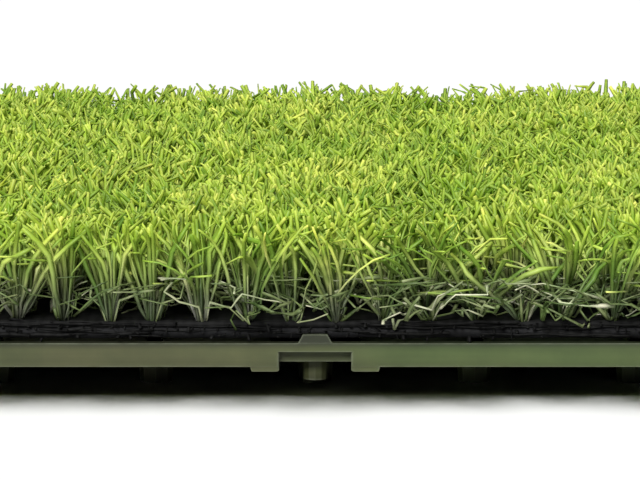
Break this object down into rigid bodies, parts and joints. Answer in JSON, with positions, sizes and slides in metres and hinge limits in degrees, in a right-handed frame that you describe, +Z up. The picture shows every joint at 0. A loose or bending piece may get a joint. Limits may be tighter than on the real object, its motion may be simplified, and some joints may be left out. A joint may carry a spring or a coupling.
{
  "type": "artificial turf tile",
  "caption": "Square interlocking artificial-turf tile: rows of tufted green blades in a black backing on a moulded olive tray with feet, pins and loops.",
  "frame": {"origin": "on the ground at the centre of the square tile, in the bottom face of the centre foot", "axes": "+Z up through the pile, +X along the front edge, +Y towards the back edge; the front and left edges carry the pins, the back and right edges the loops"},
  "size_m": [0.315, 0.315, 0.0344],
  "materials": {
    "tray": "satin moulded plastic, olive green",
    "glue": "set hot-melt glue, pale amber",
    "coating": "dull black latex coat",
    "cloth": "black woven tape cloth with frayed edges",
    "grass": "satin yellow-green blades with pale curled thatch"
  },
  "bodies": {
    "root": {"base_tray": "tray", "backing_coating": "coating", "backing_cloth": "cloth", "glue_bead_01": "glue", "glue_bead_02": "glue", "glue_bead_03": "glue", "glue_bead_04": "glue", "glue_bead_05": "glue", "glue_bead_06": "glue", "glue_bead_07": "glue", "glue_bead_08": "glue", "glue_bead_09": "glue", "tuft_row_01": "grass", "tuft_row_02": "grass", "tuft_row_03": "grass", "tuft_row_04": "grass", "tuft_row_05": "grass", "tuft_row_06": "grass", "tuft_row_07": "grass", "tuft_row_08": "grass", "tuft_row_09": "grass", "tuft_row_10": "grass", "tuft_row_11": "grass", "tuft_row_12": "grass", "tuft_row_13": "grass", "tuft_row_14": "grass", "tuft_row_15": "grass", "tuft_row_16": "grass", "tuft_row_17": "grass", "tuft_row_18": "grass", "tuft_row_19": "grass", "tuft_row_20": "grass", "tuft_row_21": "grass", "tuft_row_22": "grass", "tuft_row_23": "grass", "tuft_row_24": "grass", "tuft_row_25": "grass", "tuft_row_26": "grass", "tuft_row_27": "grass", "tuft_row_28": "grass", "tuft_row_29": "grass", "tuft_row_30": "grass", "tuft_row_31": "grass", "tuft_row_32": "grass"}
  },
  "joints": []
}
